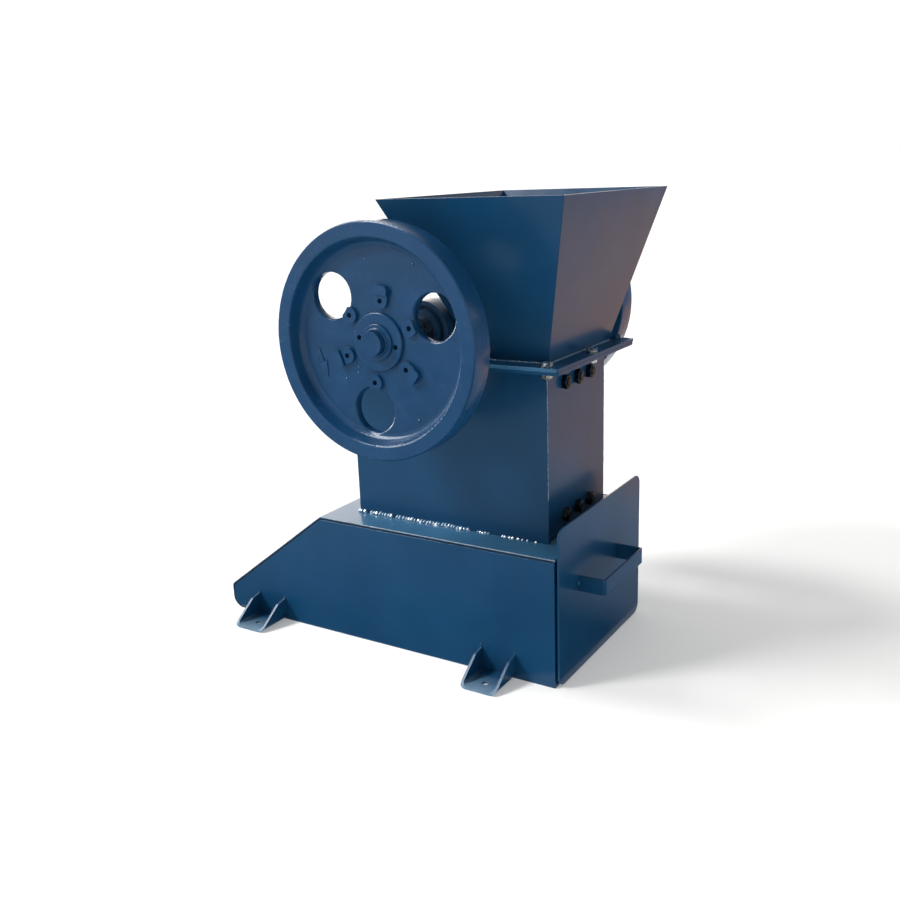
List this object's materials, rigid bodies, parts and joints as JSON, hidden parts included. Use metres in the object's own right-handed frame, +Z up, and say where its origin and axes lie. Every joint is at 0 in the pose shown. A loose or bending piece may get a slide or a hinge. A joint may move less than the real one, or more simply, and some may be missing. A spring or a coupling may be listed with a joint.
{
  "type": "jaw crusher",
  "caption": "Small workshop jaw crusher in blue paint: welded base with a sample drawer, plate body with feed hopper, and an eccentric shaft with a cast flywheel at each end.",
  "frame": {"origin": "middle of the four foot bolt holes, on the floor", "axes": "+X towards the drawer, Y across the machine along the flywheel shaft, +Z up; the flywheel seen in the picture is on the -Y side"},
  "size_m": [0.84, 0.645, 0.859],
  "materials": {
    "blue_enamel": "gloss enamel over welded steel plate",
    "blue_cast_iron": "gloss enamel over cast iron",
    "dark_housing": "dark painted casting",
    "jaw_steel": "bare cast wear steel",
    "shaft_steel": "turned steel",
    "bright_steel": "zinc plated",
    "spring_steel": "oiled spring wire"
  },
  "bodies": {
    "frame": {"base_side_near": "blue_enamel", "base_side_far": "blue_enamel", "base_slope_plate": "blue_enamel", "base_top_plate": "blue_enamel", "base_floor": "blue_enamel", "foot_rear_near": "blue_enamel", "foot_rear_far": "blue_enamel", "foot_front_near": "blue_enamel", "foot_front_far": "blue_enamel", "body_side_near": "blue_enamel", "body_side_far": "blue_enamel", "body_front_plate": "blue_enamel", "body_rear_plate": "blue_enamel", "body_top_flange": "blue_enamel", "hopper_flange": "blue_enamel", "hopper_wall_near": "blue_enamel", "hopper_wall_front": "blue_enamel", "hopper_wall_far": "blue_enamel", "hopper_wall_rear": "blue_enamel", "pitman": "blue_enamel", "toggle_seat": "blue_enamel", "fixed_jaw_plate": "jaw_steel", "swing_jaw_plate": "jaw_steel", "toggle_plate": "jaw_steel", "tension_rod": "bright_steel", "tension_spring": "spring_steel", "bearing_near": "dark_housing", "bearing_far": "dark_housing"},
    "rotor": {"eccentric_shaft": "shaft_steel", "flywheel_near": "blue_cast_iron", "flywheel_far": "blue_cast_iron", "shaft_collar_near": "blue_cast_iron", "shaft_collar_far": "blue_cast_iron"},
    "drawer": {"drawer_floor": "blue_enamel", "drawer_side_near": "blue_enamel", "drawer_side_far": "blue_enamel", "drawer_back": "blue_enamel", "drawer_front_panel": "blue_enamel", "drawer_handle": "blue_enamel"}
  },
  "joints": [
    {"name": "flywheel_spin", "type": "hinge", "parent": "frame", "child": "rotor", "pos_m": [0.125, 0, 0.63], "axis": [0, 1, 0], "continuous": true},
    {"name": "drawer_slide", "type": "slide", "parent": "frame", "child": "drawer", "axis": [1, 0, 0], "range_m": [0, 0.38]}
  ]
}
